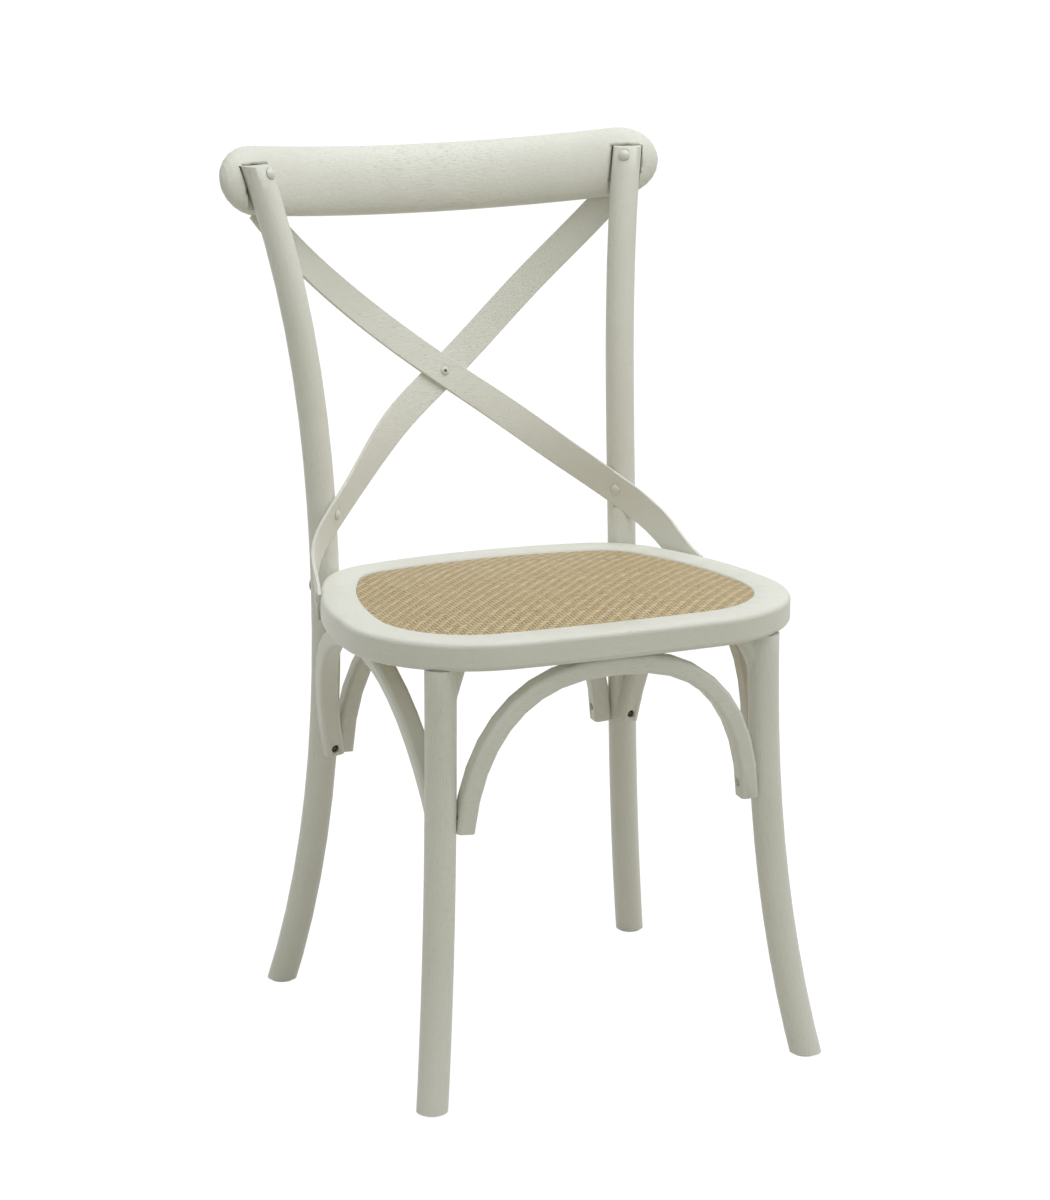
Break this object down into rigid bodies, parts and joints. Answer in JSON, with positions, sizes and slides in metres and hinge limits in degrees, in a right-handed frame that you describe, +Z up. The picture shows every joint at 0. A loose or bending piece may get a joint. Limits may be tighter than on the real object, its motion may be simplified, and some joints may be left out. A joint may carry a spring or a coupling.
{
  "type": "cross back dining chair",
  "caption": "Wooden dining chair with a bent crest rail on swept posts, two crossed back strips, a rounded seat ring with a woven panel, splayed legs and arched leg braces.",
  "frame": {"origin": "centre of the bounding box's base, on the floor", "axes": "+Z up; +Y towards the chair's back; +X towards the sitter's left"},
  "size_m": [0.4914, 0.53, 0.8809],
  "materials": {
    "white_painted_wood": "beech under off-white satin paint with a faint grain",
    "plywood": "raw birch plywood",
    "foam": "firm cut foam",
    "rattan": "flat natural rattan strands in a tight twill weave",
    "white_painted_steel": "steel under the same off-white satin paint",
    "zinc_steel": "bright zinc",
    "dark_steel": "bare steel gone dull",
    "nylon": "moulded nylon"
  },
  "bodies": {
    "root": {"rear_post_left": "white_painted_wood", "rear_post_right": "white_painted_wood", "front_leg_left": "white_painted_wood", "front_leg_right": "white_painted_wood", "seat_frame": "white_painted_wood", "crest_rail": "white_painted_wood", "cross_slat_front": "white_painted_wood", "cross_slat_rear": "white_painted_wood", "front_brace": "white_painted_wood", "rear_brace": "white_painted_wood", "right_brace": "white_painted_wood", "left_brace": "white_painted_wood", "seat_board": "plywood", "seat_pad": "foam", "woven_seat": "rattan", "crest_rail_bolts": "white_painted_steel", "cross_center_bolt": "white_painted_steel", "cross_center_nut": "white_painted_steel", "slat_post_screws": "white_painted_steel", "slat_seat_screws": "white_painted_steel", "post_seat_bolts": "white_painted_steel", "post_seat_nuts": "zinc_steel", "brace_leg_screws": "dark_steel", "brace_seat_screws": "dark_steel", "seat_board_screws": "zinc_steel", "foot_glides": "nylon"}
  },
  "joints": []
}
